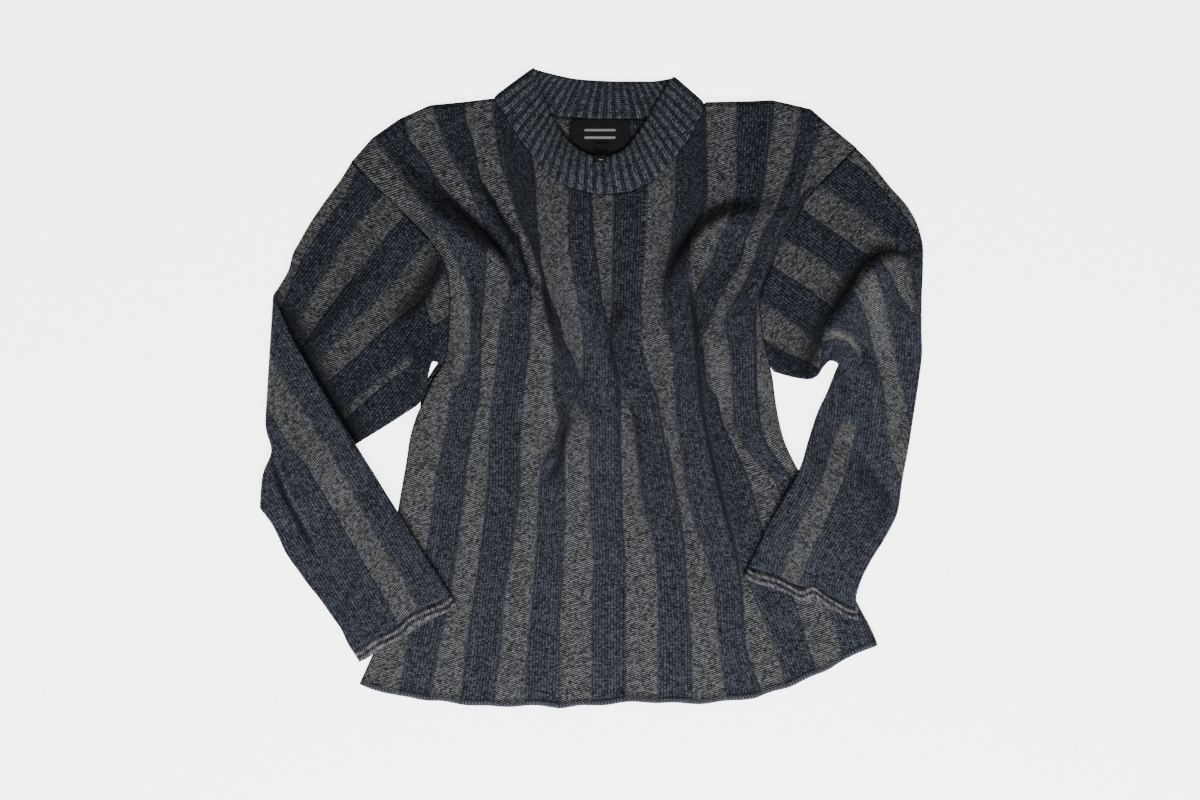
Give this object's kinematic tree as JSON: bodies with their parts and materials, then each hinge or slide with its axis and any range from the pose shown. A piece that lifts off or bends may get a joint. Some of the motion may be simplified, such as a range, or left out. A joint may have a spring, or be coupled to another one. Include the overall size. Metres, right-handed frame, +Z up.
{
  "type": "rib knit sweater",
  "caption": "Long-sleeved crew neck sweater in wide navy and grey ribs, laid flat with one sleeve folded over at the elbow.",
  "frame": {"origin": "centre of the bounding box on the table the sweater lies on", "axes": "+Z up from the table, +Y from the hem towards the collar, +X towards the wearer's left sleeve"},
  "size_m": [0.6636, 0.6411, 0.0195],
  "materials": {
    "striped_knit": "soft knit, navy and grey marl ribs",
    "collar_rib": "two-by-two rib knit, navy and grey marl",
    "grey_knit": "soft grey knit, reverse side out",
    "woven_label": "black woven tape"
  },
  "bodies": {
    "root": {"front": "striped_knit", "back": "striped_knit", "right_sleeve": "striped_knit", "left_sleeve": "striped_knit", "neckband": "collar_rib", "right_cuff": "grey_knit", "left_cuff": "grey_knit", "label": "woven_label", "size_tab": "woven_label"}
  },
  "joints": []
}
